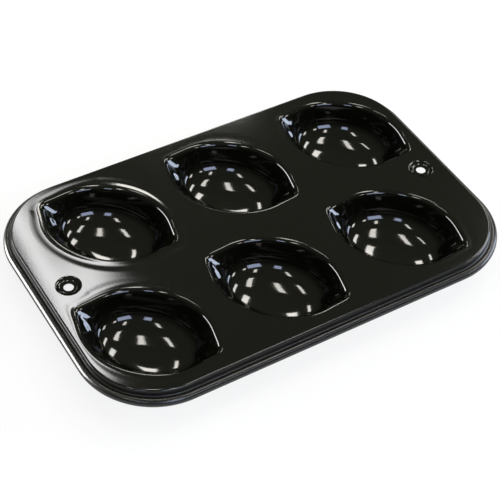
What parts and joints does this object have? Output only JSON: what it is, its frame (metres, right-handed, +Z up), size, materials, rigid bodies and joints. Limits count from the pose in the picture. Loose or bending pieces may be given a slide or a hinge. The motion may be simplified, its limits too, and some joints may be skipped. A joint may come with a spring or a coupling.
{
  "type": "lemon cake pan",
  "caption": "Glossy black pressed-steel cake pan with lemon-shaped cups in two staggered rows and a rolled rim.",
  "frame": {"origin": "centre of the pan's outline at the level it stands on", "axes": "+X along the long side, +Y across towards the back row, +Z up out of the cups"},
  "size_m": [0.2648, 0.178, 0.0235],
  "materials": {
    "coating": "glossy black non-stick coating on steel",
    "wire": "plain drawn steel wire, hidden in the roll"
  },
  "bodies": {
    "root": {"deck": "coating", "cup_back_left": "coating", "cup_back_middle": "coating", "cup_back_right": "coating", "cup_front_left": "coating", "cup_front_middle": "coating", "cup_front_right": "coating", "rolled_rim": "coating", "rim_wire": "wire", "hanging_dimple_left": "coating", "hanging_dimple_right": "coating"}
  },
  "joints": []
}
